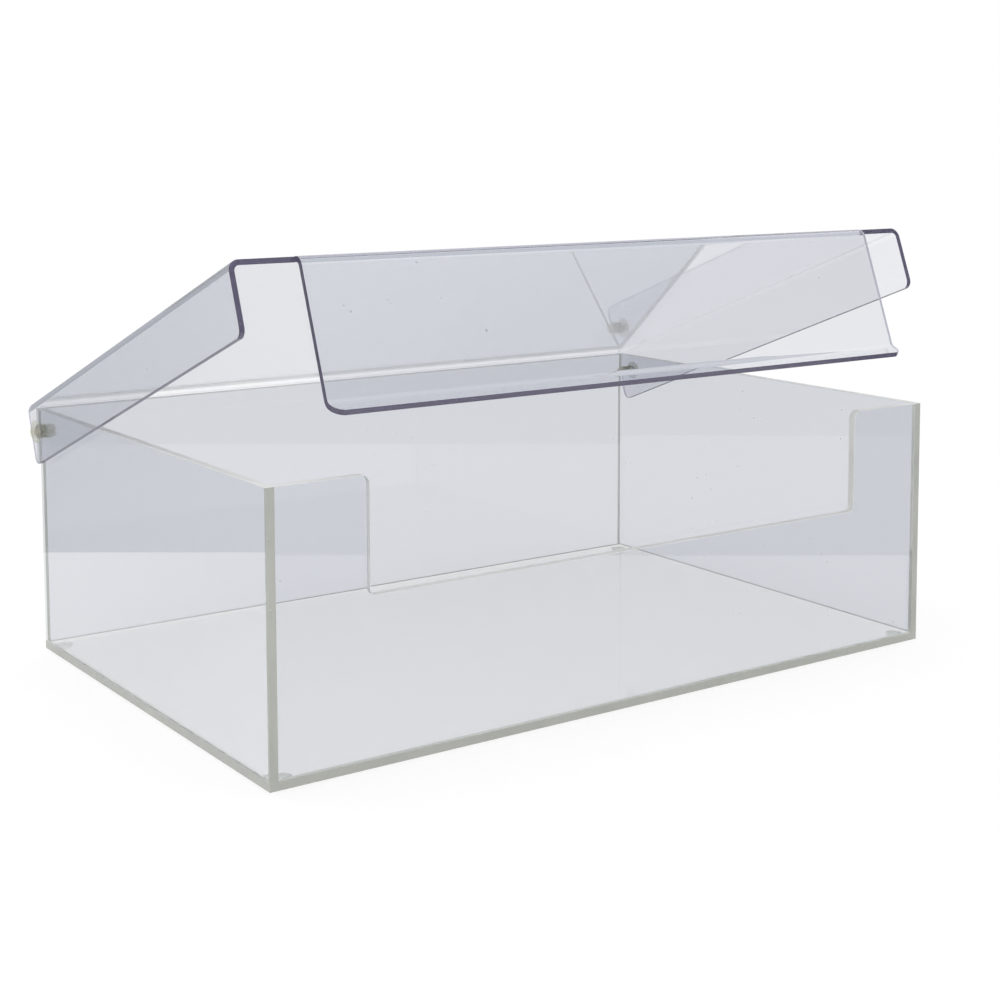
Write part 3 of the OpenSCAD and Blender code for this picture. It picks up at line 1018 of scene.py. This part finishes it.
def studio_flags(studio):
    """Two grey boards beside the set, as used to give clear sheet its edges. Their UV map runs from
    -1 to 1 across a board and from 0 to 1 up it."""
    behind = Vector((-math.sin(studio.yaw), math.cos(studio.yaw), 0))
    for name, out, distance, tint in (
        ("flag_left", behind, LEFT_FLAG_AWAY, studio.flag_left),
        ("flag_right", -behind, RIGHT_FLAG_AWAY, studio.flag_right),
    ):
        across = Vector((-out.y, out.x, 0)) * FLAG_HALF_WIDTH
        bm = bmesh.new()
        fade = bm.loops.layers.uv.new("fade")
        corners = [(-1, 0), (1, 0), (1, 1), (-1, 1)]
        spots = [out * distance + across * a + Vector((0, 0, FLAG_HEIGHT * h)) for a, h in corners]
        face = bm.faces.new([bm.verts.new(spot) for spot in spots])
        for loop, corner in zip(face.loops, corners):
            loop[fade].uv = corner
        board = as_object(name, bm, (flag_material(f"Board, {name}", tuple(tint)),))
        board.visible_camera = False
        board.visible_diffuse = False
        board.visible_shadow = False


class BIN_OT_studio(bpy.types.Operator):
    """Sets up the floor, the room, the softbox and the camera"""

    bl_idname = "bin.studio"
    bl_label = "Studio"

    def execute(self, context):
        scene = context.scene
        studio = scene.bin_studio
        studio_room(studio)
        studio_floor(studio)
        studio_flags(studio)
        lamp = bpy.data.lights.new("softbox", "AREA")
        lamp.shape = "RECTANGLE"
        lamp.size, lamp.size_y = SOFTBOX_SIZE
        lamp.energy = studio.key
        box = bpy.data.objects.new("softbox", lamp)
        scene.collection.objects.link(box)
        box.location = SOFTBOX_PLACE
        box.rotation_euler = (-box.location).to_track_quat("-Z", "Y").to_euler()
        lens = bpy.data.cameras.new("camera")
        lens.sensor_width = SENSOR_MM
        lens.lens = studio.lens
        lens.shift_x, lens.shift_y = studio.shift
        lens.clip_start, lens.clip_end = NEAREST, FURTHEST
        camera = bpy.data.objects.new("camera", lens)
        scene.collection.objects.link(camera)
        camera.location = studio.place
        camera.rotation_euler = (math.pi / 2 + studio.pitch, 0, -studio.yaw)
        scene.camera = camera
        scene.view_settings.view_transform = "Standard"
        scene.cycles.max_bounces = GUIDED_BOUNCES
        scene.cycles.transmission_bounces = GUIDED_BOUNCES
        scene.cycles.glossy_bounces = GUIDED_BOUNCES
        scene.cycles.transparent_max_bounces = CLEAR_LAYERS
        return {"FINISHED"}


class BIN_PT_panel(bpy.types.Panel):
    """Lists the pieces, with the sizes and colours that each is made from"""

    bl_label = "Clear hinged bin"
    bl_idname = "BIN_PT_panel"
    bl_space_type = "VIEW_3D"
    bl_region_type = "UI"
    bl_category = "Bin"

    def draw(self, context):
        for maker, group in MAKERS:
            box = self.layout.box()
            box.operator(maker.bl_idname)
            if group:
                settings = getattr(context.scene, group)
                for name in settings.__annotations__:
                    box.prop(settings, name)


# Each operator and the group of settings drawn under it. The feet share the rivets' group.
MAKERS = (
    (BIN_OT_tank, "bin_tank"),
    (BIN_OT_lid, "bin_lid"),
    (BIN_OT_rivets, "bin_hardware"),
    (BIN_OT_feet, None),
    (BIN_OT_studio, "bin_studio"),
)
GROUPS = {
    "bin_tank": BinTank,
    "bin_lid": BinLid,
    "bin_hardware": BinHardware,
    "bin_studio": BinStudio,
}
CLASSES = (*GROUPS.values(), *(maker for maker, _ in MAKERS), BIN_PT_panel)


def register():
    """Adds the classes, and a group of settings of each kind to the scene."""
    for cls in CLASSES:
        bpy.utils.register_class(cls)
    for name, group in GROUPS.items():
        setattr(bpy.types.Scene, name, PointerProperty(type=group))


def unregister():
    """Takes away what register adds, last first."""
    for name in GROUPS:
        delattr(bpy.types.Scene, name)
    for cls in reversed(CLASSES):
        bpy.utils.unregister_class(cls)


def main():
    """Makes every piece and the studio."""
    register()
    bpy.ops.bin.tank()
    bpy.ops.bin.lid()
    bpy.ops.bin.rivets()
    bpy.ops.bin.feet()
    bpy.ops.bin.studio()


if __name__ == "__main__":
    main()
